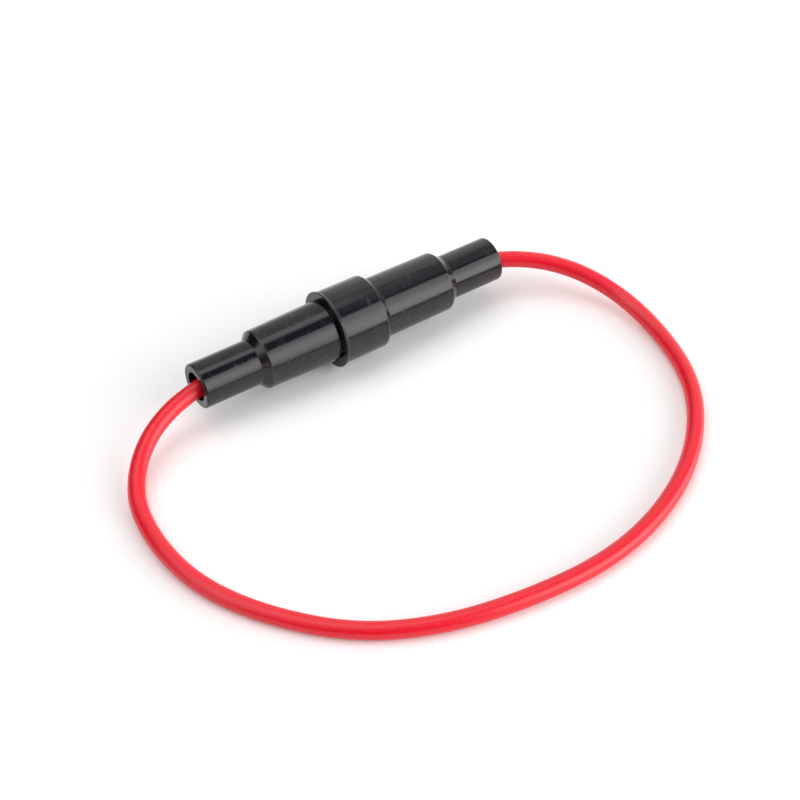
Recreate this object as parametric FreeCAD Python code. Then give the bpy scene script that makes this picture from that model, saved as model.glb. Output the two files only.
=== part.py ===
import FreeCAD, Part
import math
import os

# Screw-together inline holder for one glass cartridge fuse, with its lead.
# The holder's axis lies along X, the plug half at -X and the socket half with the collar at +X.
# The origin is on the floor under the middle of the holder. Sizes are in millimetres.

# Fuse
fuse_length = 20.0
fuse_cap_radius = 2.6
fuse_cap_length = 5.2
fuse_cap_wall = 0.12
fuse_cap_end = 0.3
fuse_cap_edge = 0.25
glass_clearance = 0.03
glass_wall = 0.45
element_radius = 0.12

# Contacts: a cup over each fuse cap with a tubular tail that takes the bared lead
cup_clearance = 0.08
cup_wall = 0.25
cup_depth = 2.5
cup_base = 0.45
tail_wall = 0.35
tail_length = 3.2

# Lead: stranded copper in a coloured sleeve
lead_diameter = 2.42
strand_radius = 0.245
strand_gap = 0.01
strand_count_outer = 6
strand_clearance = 0.05
strip_length = 0.8
solder_length = 0.6
solder_thickness = 0.2
solder_tip_thickness = 0.07

# Spring behind the plug's contact
spring_length = 5.25
spring_wire_radius = 0.25
spring_wire_sides = 8
spring_turns = 5.5
spring_clearance = 0.35

# Shells
slide_clearance = 0.1
lead_clearance = 0.9
tip_radius = 3.3
plug_tip_length = 9.77
socket_tip_length = 9.52
plug_floor_wall = 1.1
socket_floor_wall = 2.8
plug_cone_length = 0.97
plug_shoulder_radius = 4.32
plug_body_radius = 4.55
socket_cone_length = 1.37
socket_shoulder_radius = 4.42
socket_body_radius = 4.52
collar_length = 7.2
collar_cone_length = 0.97
collar_back_radius = 5.45
collar_front_radius = 5.5
rim_radius = 5.72
rim_crest = 0.22
rim_length = 0.5
fuse_reach = 4.35

# Screw joint between the halves; the fine ridges of its thread stand in the gap between neck and bore
thread_pitch = 1.5
thread_turns = 2.5
thread_gap = 0.4
thread_relief = 0.4
neck_wall = 0.7
neck_nose = 0.5
neck_end_clearance = 0.35
joint_gap = 0.1
mouth_chamfer = 0.35

# Edge radii of the mouldings
rim_edge = 0.1
plug_face_edge = 0.3
collar_edge = 0.3
shoulder_edge = 0.35
tip_edge = 0.28
bore_chamfer = 0.08

# Centre line of the lead's loop, from inside the plug's tip round the floor to inside the socket's tip
lead_radius = lead_diameter / 2
axis_height = rim_radius
lead_route = [
    (-20.6, 0.0, axis_height),
    (-22.4, 0.0, axis_height),
    (-25.6, -0.2, 5.25),
    (-29.65, -0.95, 4.45),
    (-33.85, -2.85, 3.35),
    (-37.65, -6.35, 2.1),
    (-40.4, -11.55, lead_radius),
    (-41.25, -20.05, lead_radius),
    (-39.8, -28.35, lead_radius),
    (-35.3, -36.65, lead_radius),
    (-27.9, -44.8, lead_radius),
    (-18.5, -49.75, lead_radius),
    (-7.85, -52.2, lead_radius),
    (4.2, -53.05, lead_radius),
    (14.6, -51.05, lead_radius),
    (24.6, -46.15, lead_radius),
    (32.35, -39.0, lead_radius),
    (36.8, -31.45, lead_radius),
    (38.95, -22.3, lead_radius),
    (38.5, -14.6, 2.2),
    (35.7, -8.95, 3.95),
    (32.2, -4.85, 4.95),
    (28.45, -2.15, 5.45),
    (25.1, -0.6, 5.7),
    (22.4, 0.0, axis_height),
    (20.6, 0.0, axis_height),
]
arc_share = 0.45

# Stations along the axis, worked out from the fuse's plug end and then centred on the holder
cup_inner_radius = fuse_cap_radius + cup_clearance
cup_outer_radius = cup_inner_radius + cup_wall
cavity_radius = cup_outer_radius + slide_clearance
tip_bore_radius = lead_radius + lead_clearance
neck_radius = cavity_radius + neck_wall
collar_bore_radius = neck_radius + thread_gap
thread_length = thread_pitch * thread_turns
neck_length = thread_relief + thread_length + neck_nose

socket_floor_from_fuse = fuse_length + cup_clearance + cup_base
socket_end_from_fuse = socket_floor_from_fuse + socket_floor_wall + socket_tip_length
plug_floor_from_fuse = -cup_clearance - cup_base - spring_length
plug_end_from_fuse = plug_floor_from_fuse - plug_floor_wall - plug_tip_length

fuse_plug_x = -(socket_end_from_fuse + plug_end_from_fuse) / 2
fuse_socket_x = fuse_plug_x + fuse_length
socket_floor_x = fuse_plug_x + socket_floor_from_fuse
socket_shoulder_x = socket_floor_x + socket_floor_wall
socket_end_x = fuse_plug_x + socket_end_from_fuse
plug_floor_x = fuse_plug_x + plug_floor_from_fuse
plug_shoulder_x = plug_floor_x - plug_floor_wall
plug_end_x = fuse_plug_x + plug_end_from_fuse
rim_x = fuse_plug_x + fuse_reach
collar_back_x = rim_x + collar_length
plug_face_x = rim_x - joint_gap
neck_end_x = plug_face_x + neck_length
collar_floor_x = neck_end_x + neck_end_clearance


def at(x, radius):
    """Point at station x, the given distance above the holder's axis."""
    return FreeCAD.Vector(x, 0, axis_height + radius)


def corner(before, point, after, radius):
    """Start, middle and end of the arc that rounds one corner of an outline."""
    to_before = before - point
    to_after = after - point
    half = to_before.getAngle(to_after) / 2
    room = 0.49 * min(to_before.Length, to_after.Length)
    reach = min(radius / math.tan(half), room)
    to_before.normalize()
    to_after.normalize()
    inward = to_before + to_after
    inward.normalize()
    arc_radius = reach * math.tan(half)
    centre = point + inward * (arc_radius / math.sin(half))
    return point + to_before * reach, centre - inward * arc_radius, point + to_after * reach


def turned(outline):
    """Solid of revolution about the holder's axis; each outline entry is (x, radius, corner radius)."""
    points = [at(x, radius) for x, radius, edge in outline]
    count = len(points)
    corners = []
    for i in range(count):
        edge = outline[i][2]
        if edge > 0:
            corners.append(corner(points[i - 1], points[i], points[(i + 1) % count], edge))
        else:
            corners.append((points[i], points[i], points[i]))
    edges = []
    for i in range(count):
        start, middle, end = corners[i]
        if outline[i][2] > 0:
            edges.append(Part.Arc(start, middle, end).toShape())
        following = corners[(i + 1) % count][0]
        edges.append(Part.LineSegment(end, following).toShape())
    face = Part.Face(Part.Wire(edges))
    return face.revolve(at(0, 0), FreeCAD.Vector(1, 0, 0), 360)


def facing(outline, toward):
    """Outline whose stations are counted from a place on the axis, toward (place, +1 or -1)."""
    return [(toward[0] + toward[1] * x, radius, edge) for x, radius, edge in outline]


def socket_shell():
    return turned([
        (rim_x, rim_radius, rim_edge),
        (rim_x + rim_crest, rim_radius, rim_edge),
        (rim_x + rim_length, collar_front_radius, 0),
        (collar_back_x, collar_back_radius, collar_edge),
        (collar_back_x + collar_cone_length, socket_body_radius, 0),
        (socket_shoulder_x, socket_shoulder_radius, shoulder_edge),
        (socket_shoulder_x + socket_cone_length, tip_radius, 0),
        (socket_end_x, tip_radius, tip_edge),
        (socket_end_x, tip_bore_radius + bore_chamfer, 0),
        (socket_end_x - bore_chamfer, tip_bore_radius, 0),
        (socket_floor_x, tip_bore_radius, 0),
        (socket_floor_x, cavity_radius, 0),
        (collar_floor_x, cavity_radius, 0),
        (collar_floor_x, collar_bore_radius, 0),
        (rim_x + mouth_chamfer, collar_bore_radius, 0),
        (rim_x, collar_bore_radius + mouth_chamfer, 0),
    ])


def plug_shell():
    return turned([
        (plug_end_x, tip_radius, tip_edge),
        (plug_shoulder_x - plug_cone_length, tip_radius, 0),
        (plug_shoulder_x, plug_shoulder_radius, shoulder_edge),
        (plug_face_x, plug_body_radius, plug_face_edge),
        (plug_face_x, neck_radius, 0),
        (neck_end_x, neck_radius, 0),
        (neck_end_x, cavity_radius, 0),
        (plug_floor_x, cavity_radius, 0),
        (plug_floor_x, tip_bore_radius, 0),
        (plug_end_x + bore_chamfer, tip_bore_radius, 0),
        (plug_end_x, tip_bore_radius + bore_chamfer, 0),
    ])


def contact(toward):
    """Drawn brass cup with its tubular tail, which points the way the lead goes out."""
    tail_bore = strand_bundle_radius() + strand_clearance
    tail_radius = tail_bore + tail_wall
    outline = [
        (0, cup_outer_radius, 0),
        (-cup_base - cup_depth, cup_outer_radius, 0),
        (-cup_base - cup_depth, cup_inner_radius, 0),
        (-cup_base, cup_inner_radius, 0),
        (-cup_base, 0, 0),
        (0, 0, 0),
        (0, tail_bore, 0),
        (tail_length, tail_bore, 0),
        (tail_length, tail_radius, 0),
        (0, tail_radius, 0),
    ]
    return turned(facing(outline, toward))


def strand_bundle_radius():
    """Radius round one middle strand and the ring of strands outside it."""
    return 3 * strand_radius + strand_gap


def strands(toward):
    """Bared strands: one in the middle and a ring around it, from the cup's base to the sleeve."""
    length = tail_length + strip_length
    axis = FreeCAD.Vector(toward[1], 0, 0)
    ring_radius = 2 * strand_radius + strand_gap
    pieces = [Part.makeCylinder(strand_radius, length, at(toward[0], 0), axis)]
    for i in range(strand_count_outer):
        angle = 2 * math.pi * i / strand_count_outer
        offset = FreeCAD.Vector(0, ring_radius * math.cos(angle), ring_radius * math.sin(angle))
        pieces.append(Part.makeCylinder(strand_radius, length, at(toward[0], 0) + offset, axis))
    return Part.makeCompound(pieces)


def solder(toward):
    """Cone of solder between the tail's end face and the bared strands."""
    inner = strand_bundle_radius() + strand_clearance / 2
    outline = [
        (tail_length, inner, 0),
        (tail_length, inner + solder_thickness, 0),
        (tail_length + solder_length, inner + solder_tip_thickness, 0),
        (tail_length + solder_length, inner, 0),
    ]
    return turned(facing(outline, toward))


def lead_end(toward, split_x):
    """Sleeved lead inside one tip, from its stripped end to where the loop begins."""
    start_x = toward[0] + toward[1] * (tail_length + strip_length)
    return Part.makeCylinder(
        lead_radius, abs(split_x - start_x), at(start_x, 0), FreeCAD.Vector(toward[1], 0, 0))


def fuse_cap(end_x, inward):
    """Thimble-shaped end cap of the fuse; inward is +1 or -1 from its closed end."""
    inner = fuse_cap_radius - fuse_cap_wall
    outline = [
        (0, 0, 0),
        (0, fuse_cap_radius, fuse_cap_edge),
        (fuse_cap_length, fuse_cap_radius, 0),
        (fuse_cap_length, inner, 0),
        (fuse_cap_end, inner, 0),
        (fuse_cap_end, 0, 0),
    ]
    return turned(facing(outline, (end_x, inward)))


def fuse_glass():
    outer = fuse_cap_radius - fuse_cap_wall - glass_clearance
    start_x = fuse_plug_x + fuse_cap_end
    end_x = fuse_socket_x - fuse_cap_end
    return turned([
        (start_x, outer, 0),
        (end_x, outer, 0),
        (end_x, outer - glass_wall, 0),
        (start_x, outer - glass_wall, 0),
    ])


def fuse_element():
    start = at(fuse_plug_x + fuse_cap_end, 0)
    length = fuse_length - 2 * fuse_cap_end
    return Part.makeCylinder(element_radius, length, start, FreeCAD.Vector(1, 0, 0))


def contact_spring():
    """Compression spring with ground ends between the plug's floor and its contact."""
    coil_radius = cavity_radius - spring_clearance - spring_wire_radius
    pitch = spring_length / spring_turns
    helix = Part.makeHelix(pitch, spring_length, coil_radius)
    corners = []
    for i in range(spring_wire_sides + 1):
        angle = 2 * math.pi * i / spring_wire_sides
        across = coil_radius + spring_wire_radius * math.cos(angle)
        corners.append(FreeCAD.Vector(across, 0, spring_wire_radius * math.sin(angle)))
    section = Part.makePolygon(corners)
    coil = Part.Wire(helix).makePipeShell([section], True, True)
    coil.rotate(FreeCAD.Vector(0, 0, 0), FreeCAD.Vector(0, 1, 0), 90)
    coil.translate(at(plug_floor_x, 0))
    room = Part.makeCylinder(cavity_radius, spring_length, at(plug_floor_x, 0), FreeCAD.Vector(1, 0, 0))
    return coil.common(room)


def lead_loop():
    """Tube along straight runs joined by tangent arcs, each as large as its two runs allow."""
    points = [FreeCAD.Vector(*point) for point in lead_route]
    edges = []
    pen = points[0]
    for i in range(1, len(points) - 1):
        back = points[i - 1] - points[i]
        onward = points[i + 1] - points[i]
        half_turn = (math.pi - back.getAngle(onward)) / 2
        reach = arc_share * min(back.Length, onward.Length)
        radius = reach / math.tan(half_turn)
        print("bend", i, "radius", round(radius, 1), "turn", round(math.degrees(2 * half_turn), 1))
        start, middle, end = corner(points[i - 1], points[i], points[i + 1], radius)
        edges.append(Part.LineSegment(pen, start).toShape())
        edges.append(Part.Arc(start, middle, end).toShape())
        pen = end
    edges.append(Part.LineSegment(pen, points[-1]).toShape())
    length = sum(edge.Length for edge in edges)
    section = Part.Wire(Part.makeCircle(lead_radius, points[0], points[1] - points[0]))
    tube = Part.Wire(edges).makePipeShell([section], True, True)
    expected = math.pi * lead_radius ** 2 * length
    print("lead loop length", round(length, 2))
    print("lead loop volume", round(tube.Volume, 2), "section times length", round(expected, 2))
    return tube


def write(name, shape):
    shape.exportStep("parts/" + name + ".step")
    box = shape.BoundBox
    print(name, "solids", len(shape.Solids), "valid", shape.isValid(), "volume", round(shape.Volume, 2),
          "x", round(box.XMin, 2), round(box.XMax, 2))


os.makedirs("parts", exist_ok=True)
plug_side = (fuse_plug_x - cup_clearance - cup_base, -1)
socket_side = (fuse_socket_x + cup_clearance + cup_base, 1)

write("socket_shell", socket_shell())
write("plug_shell", plug_shell())
write("fuse_cap_plug", fuse_cap(fuse_plug_x, 1))
write("fuse_cap_socket", fuse_cap(fuse_socket_x, -1))
write("fuse_glass", fuse_glass())
write("fuse_element", fuse_element())
write("contact_spring", contact_spring())
write("lead_loop", lead_loop())
for side, toward, split in (("plug", plug_side, lead_route[0]), ("socket", socket_side, lead_route[-1])):
    write(side + "_contact", contact(toward))
    write(side + "_strands", strands(toward))
    write(side + "_solder", solder(toward))
    write(side + "_lead_end", lead_end(toward, split[0]))
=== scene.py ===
"""Looks of a screw-together inline holder for a glass fuse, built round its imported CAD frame.

X runs along the holder: the plug half lies at -X and the socket half with its collar at +X.
Lengths in the classes are millimetres, and a mesh becomes metres when it is made.
An angle round the holder starts at the top and turns towards the camera's side, -Y.
"""

import logging
import math
from collections.abc import Callable, Sequence
from dataclasses import dataclass
from enum import Enum
from typing import ClassVar

import bmesh
import bpy
import numpy as np
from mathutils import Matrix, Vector


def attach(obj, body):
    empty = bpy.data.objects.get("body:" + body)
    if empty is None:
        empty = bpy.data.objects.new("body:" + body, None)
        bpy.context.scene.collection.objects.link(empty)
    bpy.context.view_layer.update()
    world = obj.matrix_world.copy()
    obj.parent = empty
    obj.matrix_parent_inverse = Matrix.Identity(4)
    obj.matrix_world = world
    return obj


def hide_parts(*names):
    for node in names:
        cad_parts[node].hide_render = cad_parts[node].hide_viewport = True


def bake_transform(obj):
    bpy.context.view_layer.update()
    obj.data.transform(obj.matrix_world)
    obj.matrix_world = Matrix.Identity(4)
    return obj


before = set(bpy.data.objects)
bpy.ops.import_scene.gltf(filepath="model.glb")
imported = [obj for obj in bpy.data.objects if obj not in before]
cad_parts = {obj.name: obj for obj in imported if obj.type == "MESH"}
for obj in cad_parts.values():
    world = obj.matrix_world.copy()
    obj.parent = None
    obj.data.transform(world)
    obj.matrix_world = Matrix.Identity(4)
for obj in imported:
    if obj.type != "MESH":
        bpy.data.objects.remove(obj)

MM = 0.001
TURN = 2 * math.pi
ARC_POINTS = 7
LONGEST_ARC_SHARE = 0.42
SHARP_REACH = 1e-4
HOLD_LENGTH = 0.05
HOLD_SHARE = 0.12
FREE_STEP = 10.0
END_TAPER = 0.94
MERGE_DISTANCE = 1e-8
ON_SURFACE = 0.02
Relief = Callable[[np.ndarray, np.ndarray], np.ndarray]
Colour = tuple[float, float, float]

log = logging.getLogger("holder")


class Body(str, Enum):
    """Rigid bodies of the frame that a piece can ride on."""

    SOCKET = "socket_half"
    LEAD = "plug_lead"
    SPRING = "plug_spring"
    PLUG = "plug_half"


class Side(Enum):
    """The two ends of the holder, with the way that each one's lead goes out."""

    PLUG = ("plug", -1.0, Body.LEAD)
    SOCKET = ("socket", 1.0, Body.SOCKET)

    @property
    def label(self) -> str:
        """First word of the side's node names."""
        return self.value[0]

    @property
    def outward(self) -> float:
        """Sign of X from the fuse to this side's tip."""
        return self.value[1]

    @property
    def body(self) -> Body:
        """Body that this side's contact and lead ride on."""
        return self.value[2]


# Shapes


@dataclass(frozen=True)
class Corner:
    """One corner of an outline that is turned about the holder's axis.

    Its edge is the radius that rounds it, and its step the longest part of the run after it.
    """

    x: float
    radius: float
    edge: float = 0.03
    step: float = 1.0


@dataclass
class Grid:
    """A surface as a grid of points, with the way that its rows and columns close."""

    points: np.ndarray
    uv: np.ndarray
    closed_rows: bool
    closed_columns: bool
    edge: np.ndarray | None = None
    flip: bool = False


def smooth_step(t: np.ndarray) -> np.ndarray:
    """Ramp from 0 to 1 with level ends: 3t^2 - 2t^3 of t held between 0 and 1."""
    t = np.clip(t, 0, 1)
    return t * t * (3 - 2 * t)


def rounded_outline(corners: Sequence[Corner], closed: bool) -> np.ndarray:
    """Outline with each corner turned into an arc that touches both of its runs.

    The arc starts and ends at edge / tan(half the corner's angle) from the corner. Its points are
    the mean of the two end radii, weighted by the sines of the angle left and the angle passed.
    A holding point stands a little way along each run, so that the flats stay flat when shaded.

    Args:
        corners: the outline's corners in order.
        closed: whether the last corner joins the first; if not, the two ends stay sharp.

    Returns:
        Rows of x, radius, 1 on an arc or 0 on a run.
    """
    place = np.array([(c.x, c.radius) for c in corners])
    edge = np.array([c.edge for c in corners])
    step = np.array([c.step for c in corners])
    back = np.roll(place, 1, 0) - place
    ahead = np.roll(place, -1, 0) - place
    back_length = np.linalg.norm(back, axis=1)
    ahead_length = np.linalg.norm(ahead, axis=1)
    back = back / back_length[:, None]
    ahead = ahead / ahead_length[:, None]
    half = np.arccos(np.clip((back * ahead).sum(1), -1, 1)) / 2
    shorter = np.minimum(back_length, ahead_length)
    reach = np.minimum(edge / np.tan(half), LONGEST_ARC_SHARE * shorter)
    sharp = np.zeros(len(place), bool)
    if not closed:
        sharp[[0, -1]] = True
    reach = np.where(sharp, SHARP_REACH, reach)
    arc_radius = reach * np.tan(half)
    inward = back + ahead
    inward = inward / np.maximum(np.linalg.norm(inward, axis=1), 1e-9)[:, None]
    centre = place + inward * (arc_radius / np.sin(half))[:, None]
    start = place + back * reach[:, None]
    end = place + ahead * reach[:, None]
    turn = math.pi - 2 * half
    t = np.linspace(0, 1, ARC_POINTS)[None, :, None]
    share = turn[:, None, None]
    arc = np.sin((1 - t) * share) * (start - centre)[:, None] + np.sin(t * share) * (end - centre)[:, None]
    arc = centre[:, None] + arc / np.sin(share)
    hold = np.minimum(HOLD_LENGTH, HOLD_SHARE * shorter)[:, None]
    rows = np.concatenate([(start + back * hold)[:, None], arc, (end + ahead * hold)[:, None]], axis=1)
    on_arc = np.ones((len(place), ARC_POINTS + 2))
    on_arc[:, [0, -1]] = 0
    steps = np.full((len(place), ARC_POINTS + 2), FREE_STEP)
    steps[:, -1] = step
    line = np.concatenate([rows, on_arc[..., None], steps[..., None]], axis=2).reshape(-1, 4)
    if not closed:
        first = np.array([[place[0, 0], place[0, 1], 0, step[0]]])
        last = np.array([[place[-1, 0], place[-1, 1], 0, FREE_STEP]])
        line = np.concatenate([first, line[ARC_POINTS + 2:-(ARC_POINTS + 2)], last])
    return divided_runs(line, closed)


def divided_runs(line: np.ndarray, closed: bool) -> np.ndarray:
    """Outline with its long runs cut into equal parts no longer than each run's own step.

    Args:
        line: rows of x, radius, arc mark, step.
        closed: whether the last row joins the first.

    Returns:
        Rows of x, radius, arc mark.
    """
    following = np.roll(line, -1, 0)
    length = np.linalg.norm(following[:, :2] - line[:, :2], axis=1)
    count = np.maximum(1, np.ceil(length / line[:, 3])).astype(int)
    if not closed:
        count[-1] = 1
    owner = np.repeat(np.arange(len(line)), count)
    first = np.cumsum(count) - count
    t = (np.arange(count.sum()) - first[owner]) / count[owner]
    return line[owner, :3] + (following[owner, :3] - line[owner, :3]) * t[:, None]


def turned(
    corners: Sequence[Corner],
    axis_height: float,
    closed: bool = True,
    around: int = 96,
    relief: Relief | None = None,
) -> Grid:
    """Surface of an outline turned about the holder's axis.

    A point is (x, -r sin a, axis height + r cos a), with r the outline's radius plus the relief
    at angle a and station x.

    Args:
        corners: the outline's corners.
        axis_height: height of the axis above the floor.
        closed: whether the outline is a loop; if not, it starts and ends on the axis.
        around: points round the axis.
        relief: height added to the radius, as a function of angle and station.

    Returns:
        The grid, its faces pointing outwards.
    """
    line = rounded_outline(corners, closed)
    angle = np.linspace(-math.pi, math.pi, around, endpoint=False)[:, None]
    x = np.broadcast_to(line[None, :, 0], (around, len(line)))
    radius = line[None, :, 1] + (relief(angle, line[None, :, :2]) if relief else 0 * angle)
    points = np.stack([x, -radius * np.sin(angle), axis_height + radius * np.cos(angle)], axis=2)
    along = np.concatenate([[0], np.cumsum(np.linalg.norm(np.diff(line[:, :2], axis=0), axis=1))])
    size = max(c.radius for c in corners)
    uv = np.stack(np.broadcast_arrays(angle * size, along[None, :]), axis=2)
    ahead = np.roll(line, -1, 0)
    area = (line[:, 0] * ahead[:, 1] - ahead[:, 0] * line[:, 1]).sum()
    edge = np.broadcast_to(line[None, :, 2], (around, len(line)))
    return Grid(points, uv, True, closed, edge, flip=area < 0)


def tube(
    path: np.ndarray, side: np.ndarray, lift: np.ndarray, radius: np.ndarray | float, around: int = 16
) -> Grid:
    """Round rod along a path, with flat closed ends.

    A point is the path's point + radius * (side cos a + lift sin a), and the ends add one ring of
    no radius.

    Args:
        path: points along the middle.
        side: unit vectors across the path.
        lift: unit vectors across the path, at right angles to side.
        radius: the rod's radius, for all points or for each.
        around: points round the rod.

    Returns:
        The grid, one row of points round each path point.
    """
    radius = np.broadcast_to(np.asarray(radius, float), (len(path),))
    near = np.r_[0, 0, np.arange(len(path)), len(path) - 1, len(path) - 1]
    size = radius[near].copy()
    size[[0, -1]] = 0
    size[[1, -2]] *= END_TAPER
    angle = np.linspace(0, TURN, around, endpoint=False)[None, :]
    ring = side[near][:, None] * np.cos(angle)[..., None] + lift[near][:, None] * np.sin(angle)[..., None]
    points = path[near][:, None] + size[:, None, None] * ring
    along = np.concatenate([[0], np.cumsum(np.linalg.norm(np.diff(path, axis=0), axis=1))])[near]
    uv = np.stack(np.broadcast_arrays(angle * float(radius.max()), along[:, None]), axis=2)
    return Grid(points, uv, False, True)


def joined_mesh(name: str, grids: Sequence[Grid]) -> bpy.types.Mesh:
    """Mesh of one or more grids, in metres, with UVs in millimetres and an edge mark.

    Each cell of a grid is a quad. Coinciding points at poles and ends are merged, which closes
    them with triangles.

    Args:
        name: the mesh's name.
        grids: surfaces that make up the piece.

    Returns:
        The smooth-shaded mesh.
    """
    all_points, all_faces, all_uv, all_edges = [], [], [], []
    offset = 0
    for grid in grids:
        rows, columns = grid.points.shape[:2]
        index = np.arange(rows * columns).reshape(rows, columns)
        i = np.arange(rows if grid.closed_rows else rows - 1)[:, None]
        j = np.arange(columns if grid.closed_columns else columns - 1)[None, :]
        below, beside = (i + 1) % rows, (j + 1) % columns
        cells = [(i, j), (i, beside), (below, beside), (below, j)]
        if grid.flip:
            cells = cells[::-1]
        cells = [np.broadcast_arrays(a, b) for a, b in cells]
        faces = np.stack([index[a, b] for a, b in cells], axis=2)
        # a cell that closes the grid takes its UVs one period on, so that a pattern isn't squeezed into it
        row_period = (grid.uv[-1, 0] - grid.uv[0, 0]) * rows / max(rows - 1, 1)
        column_period = (grid.uv[0, -1] - grid.uv[0, 0]) * columns / max(columns - 1, 1)
        uv = np.stack(
            [
                grid.uv[a, b]
                + np.where(a < i, 1.0, 0.0)[..., None] * row_period
                + np.where(b < j, 1.0, 0.0)[..., None] * column_period
                for a, b in cells
            ],
            axis=2,
        )
        all_points.append(grid.points.reshape(-1, 3) * MM)
        all_faces.append(faces.reshape(-1, 4) + offset)
        all_uv.append(uv.reshape(-1, 2))
        all_edges.append(np.zeros(rows * columns) if grid.edge is None else grid.edge.reshape(-1))
        offset += rows * columns
    mesh = bpy.data.meshes.new(name)
    mesh.from_pydata(np.concatenate(all_points).tolist(), [], np.concatenate(all_faces).tolist())
    layer = mesh.uv_layers.new(name="Run")
    layer.data.foreach_set("uv", np.concatenate(all_uv).astype(np.float32).ravel())
    mark = mesh.attributes.new("edge", "FLOAT", "POINT")
    mark.data.foreach_set("value", np.concatenate(all_edges).astype(np.float32))
    work = bmesh.new()
    work.from_mesh(mesh)
    bmesh.ops.remove_doubles(work, verts=work.verts, dist=MERGE_DISTANCE)
    bmesh.ops.recalc_face_normals(work, faces=work.faces)
    work.to_mesh(mesh)
    work.free()
    mesh.shade_smooth()
    return mesh


def new_piece(
    name: str, grids: Sequence[Grid], finish: "Finish", nodes: Sequence[str]
) -> bpy.types.Object:
    """Adds a piece to the scene, dresses it and lets it stand for its CAD nodes.

    Args:
        name: the piece's name.
        grids: its surfaces.
        finish: what it is made of.
        nodes: CAD nodes that it stands for.

    Returns:
        The new object, at the origin.
    """
    piece = bpy.data.objects.new(name, joined_mesh(name, grids))
    bpy.context.scene.collection.objects.link(piece)
    piece.data.materials.append(finish.material())
    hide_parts(*nodes)
    log.info("%s: %d faces", name, len(piece.data.polygons))
    return piece


# Finishes


class Wiring:
    """Adds nodes to a material, a world or a node group, and links them."""

    def __init__(self, tree: bpy.types.NodeTree) -> None:
        """Takes over a node tree and empties it."""
        self.tree = tree
        tree.nodes.clear()

    def add(
        self, kind: str, /, inputs: dict[str | int, object] | None = None, **settings: object
    ) -> bpy.types.Node:
        """Adds one node.

        Args:
            kind: the node's type.
            inputs: plain values or output sockets, by input name or number.
            settings: the node's own options.

        Returns:
            The node.
        """
        node = self.tree.nodes.new(kind)
        for key, value in settings.items():
            setattr(node, key, value)
        for key, value in (inputs or {}).items():
            if isinstance(value, bpy.types.NodeSocket):
                self.tree.links.new(value, node.inputs[key])
            else:
                node.inputs[key].default_value = value
        return node

    def math(self, operation: str, *values: object, clamp: bool = False) -> bpy.types.NodeSocket:
        """Result of a Math node on one to three values."""
        node = self.add("ShaderNodeMath", dict(enumerate(values)), operation=operation, use_clamp=clamp)
        return node.outputs[0]

    def span(
        self, value: object, low: float, high: float, to_low: float, to_high: float
    ) -> bpy.types.NodeSocket:
        """Value carried from one range to another and held inside it, with level ends.

        Args:
            value: what is carried.
            low: start of the range that it comes from.
            high: end of that range.
            to_low: result at the start.
            to_high: result at the end.

        Returns:
            The carried value.
        """
        ends = {"From Min": low, "From Max": high, "To Min": to_low, "To Max": to_high}
        node = self.add("ShaderNodeMapRange", {"Value": value, **ends}, interpolation_type="SMOOTHSTEP")
        return node.outputs["Result"]

    def mix(self, share: object, first: object, second: object) -> bpy.types.NodeSocket:
        """Colour between first and second, by share."""
        inputs = {0: share, 6: first, 7: second}
        return self.add("ShaderNodeMix", inputs, data_type="RGBA").outputs[2]

    def scaled(self, vector: object, scale: tuple[float, float, float]) -> bpy.types.NodeSocket:
        """Vector stretched along its own axes."""
        return self.add("ShaderNodeMapping", {"Vector": vector, "Scale": scale}).outputs[0]


def group(
    name: str, inputs: dict[str, tuple[str, object]], outputs: Sequence[str]
) -> tuple[Wiring, dict[str, bpy.types.NodeSocket], bpy.types.Node]:
    """Starts a node group.

    Args:
        name: the group's name.
        inputs: socket kind and default value by input name.
        outputs: names of the output values.

    Returns:
        Its wiring, its input sockets by name, and its output node.
    """
    tree = bpy.data.node_groups.new(name, "ShaderNodeTree")
    for label, (kind, value) in inputs.items():
        socket = tree.interface.new_socket(label, in_out="INPUT", socket_type="NodeSocket" + kind)
        if value is not None:
            socket.default_value = value
    for label in outputs:
        tree.interface.new_socket(label, in_out="OUTPUT", socket_type="NodeSocketFloat")
    wiring = Wiring(tree)
    source = wiring.add("NodeGroupInput")
    return wiring, {s.name: s for s in source.outputs if s.name}, wiring.add("NodeGroupOutput")


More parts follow.
